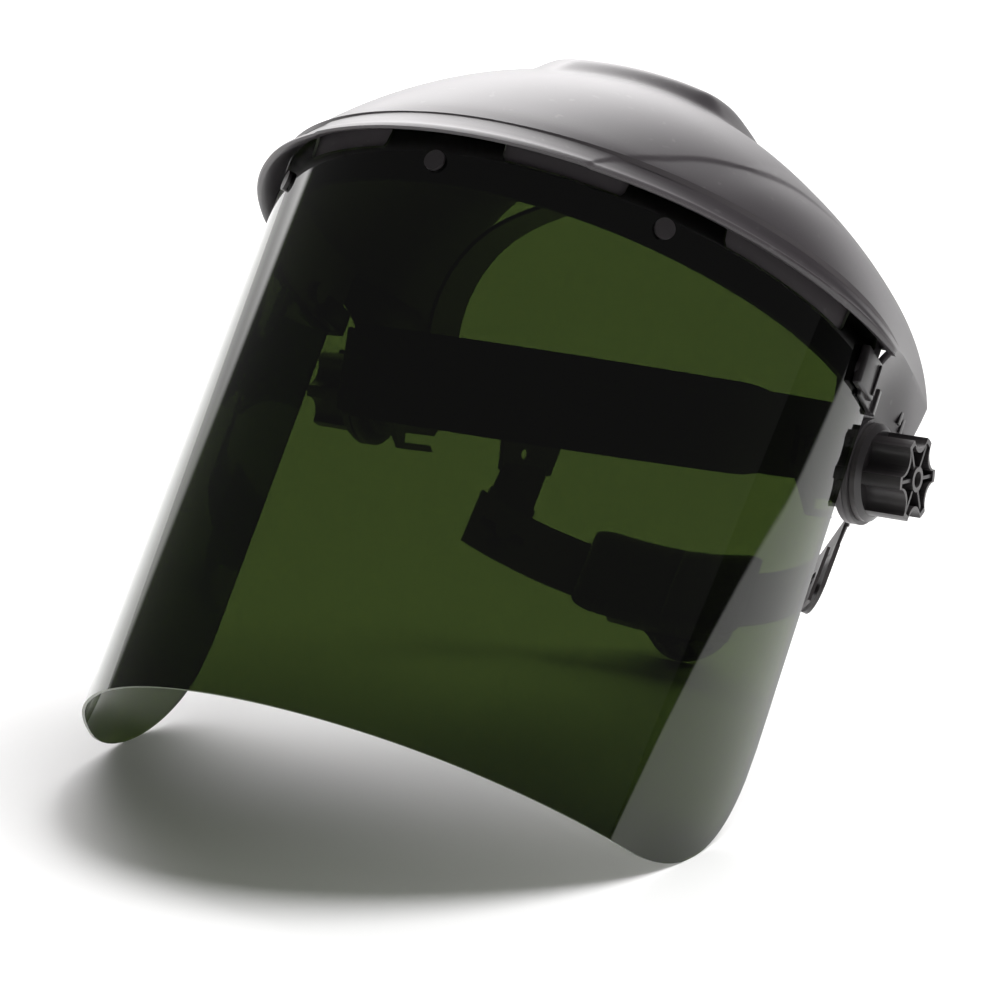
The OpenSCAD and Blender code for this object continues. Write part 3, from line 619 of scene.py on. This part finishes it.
# ---------------------------------------------------------------- headband pads
BROW_R, BROW_HALF, BROW_CB, TEMPLE_R = 66.0, 60.0, -62.0, 180.0
TEMPLE_CX = (BROW_R - TEMPLE_R) * math.sin(math.radians(BROW_HALF))
TEMPLE_CB = BROW_CB - (BROW_R - TEMPLE_R) * math.cos(math.radians(BROW_HALF))


def band_plan(t, off):
    t = np.asarray(t, float)
    a = np.radians(t)
    front = np.abs(t) <= BROW_HALF
    x = np.where(front, (BROW_R + off) * np.sin(a), np.sign(t) * TEMPLE_CX + (TEMPLE_R + off) * np.sin(a))
    y = np.where(front, BROW_CB - (BROW_R + off) * np.cos(a), TEMPLE_CB - (TEMPLE_R + off) * np.cos(a))
    return x, y


def temple_at(b):
    return 90 + math.degrees(math.asin((b - TEMPLE_CB) / TEMPLE_R))


def puff(name, path, length, u_low, u_high, thick, frame_of, body, replaces, seams=()):
    """A thin crowned cushion along a path: path(k, off) gives x, y for k in 0..1 and off into the pad."""
    cols, rows = 220, 28
    ks = np.linspace(0, 1, cols)
    vs = np.linspace(-1, 1, rows)
    mid, half = (u_low + u_high) / 2, (u_high - u_low) / 2
    outer, inner = [], []
    prof = np.sqrt(np.clip(1 - np.abs(vs) ** 5, 0, 1))
    for k in ks:
        near_end = min(k, 1 - k) * length
        end = math.sqrt(max(0.0, 1 - (1 - min(1, near_end / 9.0)) ** 2))
        pull = 1.0
        for s in seams:
            pull -= 0.42 * math.exp(-((k - s) * length / 1.4) ** 2)
        ripple = 1 + 0.05 * np.sin(k * length * 0.55 + 2 * vs)
        back = 0.12 * thick * (1 - prof * end)
        depth = thick * (0.16 + 0.84 * prof * end * pull) * np.where(np.abs(vs) < 0.95, ripple, 1)
        hh = half * (0.80 + 0.20 * end)
        z = mid + hh * vs
        xo, yo = path(k, np.full(rows, 0.0) + back)
        xi, yi = path(k, np.minimum(depth, thick))
        outer.append(np.stack([np.broadcast_to(xo, z.shape), np.broadcast_to(yo, z.shape), z], -1))
        inner.append(np.stack([np.broadcast_to(xi, z.shape), np.broadcast_to(yi, z.shape), z], -1))
    verts, faces, _ = slab(np.array(outer), np.array(inner))
    ob = mesh_object(name, frame_of(verts), faces, [PAD], body, replaces)
    return ob


SWEAT_GAP, SWEAT_LEN, SWEAT_LOW, SWEAT_HIGH, SWEAT_T, SWEAT_END = 1.85, 225.0, -7.4, 23.6, 4.9, -35


def sweat_path(k, off):
    t = mix(-temple_at(SWEAT_END), temple_at(SWEAT_END), k)
    return band_plan(t, -SWEAT_GAP - off)


puff("sweatband_pad", sweat_path, SWEAT_LEN, SWEAT_LOW, SWEAT_HIGH, SWEAT_T, from_head, "headgear",
     ["sweatband"], seams=[0.07, 0.285, 0.5, 0.715, 0.93])

NAPE_PAD_OUT, NAPE_PAD_T, NAPE_PAD_HALF, NAPE_PAD_LEN, NAPE_PAD_HALF_H = 80.75, 5.8, 25.8, 72.0, 16.8


def nape_path(k, off):
    t = math.radians(mix(-NAPE_PAD_HALF, NAPE_PAD_HALF, k))
    r = NAPE_PAD_OUT - off
    return r * math.sin(t), r * math.cos(t)


puff("nape_cushion", nape_path, NAPE_PAD_LEN, -NAPE_PAD_HALF_H, NAPE_PAD_HALF_H, NAPE_PAD_T, from_nape,
     "headgear", ["nape_pad"], seams=[0.5])


# ---------------------------------------------------------------- stage and light
def make_stage():
    """White paper. Seen in reflections only, its back right is painted near-black: a painted reflection of a dark
    room.
    """
    m, nt, out = new_material("paper_floor")
    co = object_place(nt)
    col = ramp(nt, noise(nt, co, 3.0, 2.0), [(0.3, (0.90, 0.90, 0.895)), (0.7, (0.92, 0.92, 0.915))])
    paper = principled(nt, col, 0.75, Specular_IOR_Level=0.25)
    # painted reflection: near-black shade in place of the paper at the back right, for reflected rays only
    dark = add(nt, "ShaderNodeBsdfDiffuse", {"Color": (0.03, 0.03, 0.03, 1)})
    xyz = add(nt, "ShaderNodeSeparateXYZ", {0: co}).outputs
    painted_dark_zone = calc(nt, "MULTIPLY", ease(nt, xyz["Y"], 0.50, 0.58), ease(nt, xyz["X"], 0.50, 0.58))
    mirror = add(nt, "ShaderNodeLightPath").outputs["Is Glossy Ray"]
    nt.links.new(mix_shaders(nt, calc(nt, "MULTIPLY", painted_dark_zone, mirror), paper, dark), out.inputs[0])
    size = 12.0
    corners = [(-size, -size, 0), (size, -size, 0), (size, size, 0), (-size, size, 0)]
    me = bpy.data.meshes.new("floor")
    me.from_pydata(corners, [], [(0, 1, 2, 3)])
    me.materials.append(m)
    ob = bpy.data.objects.new("floor", me)
    bpy.context.scene.collection.objects.link(ob)


def make_world():
    """A light tent: bright behind the object and to its upper left, dark in front; white to the eye."""
    w = bpy.data.worlds.new("tent")
    bpy.context.scene.world = w
    w.use_nodes = True
    nt = w.node_tree
    nt.nodes.clear()
    out = nt.nodes.new("ShaderNodeOutputWorld")
    d = add(nt, "ShaderNodeTexCoord").outputs["Generated"]
    xyz = add(nt, "ShaderNodeSeparateXYZ", {0: d}).outputs
    panel = calc(nt, "MULTIPLY", ease(nt, xyz["Y"], 0.33, 0.41), ease(nt, xyz["X"], 0.22, 0.38, 1.0, 0.0))
    low = ease(nt, xyz["Z"], 0.05, 0.3, 1.0, 1.9)
    # the tent's upper part is lit on the left only
    lit_side = ease(nt, xyz["X"], -0.42, 0.05, 2.5, 0.08)
    upper = ease(nt, xyz["Z"], 0.05, 0.22)
    top = add(nt, "ShaderNodeMix", {0: upper, 2: 1.0, 3: lit_side}, data_type="FLOAT").outputs[0]
    glow = calc(nt, "MULTIPLY", panel, calc(nt, "MULTIPLY", low, top))
    strength = calc(nt, "MAXIMUM", glow, 0.11)
    lit = add(nt, "ShaderNodeBackground", {"Color": (1.0, 0.985, 0.99, 1), "Strength": strength})
    seen = add(nt, "ShaderNodeBackground", {"Color": (1, 1, 1, 1), "Strength": 1.0})
    eye = add(nt, "ShaderNodeLightPath").outputs["Is Camera Ray"]
    nt.links.new(mix_shaders(nt, eye, lit, seen), out.inputs[0])


def sun(name, toward, strength, angle):
    """An even, soft light that reflections don't see."""
    data = bpy.data.lights.new(name, "SUN")
    data.energy = strength
    data.angle = math.radians(angle)
    ob = bpy.data.objects.new(name, data)
    ob.rotation_euler = Vector(toward).to_track_quat("-Z", "Y").to_euler()
    ob.visible_glossy = False
    bpy.context.scene.collection.objects.link(ob)


make_stage()
make_world()
sun("key", (-0.35, -0.62, -1.0), 4.0, 46.0)
bpy.context.scene.view_settings.view_transform = "Standard"
bpy.context.scene.view_settings.look = "None"
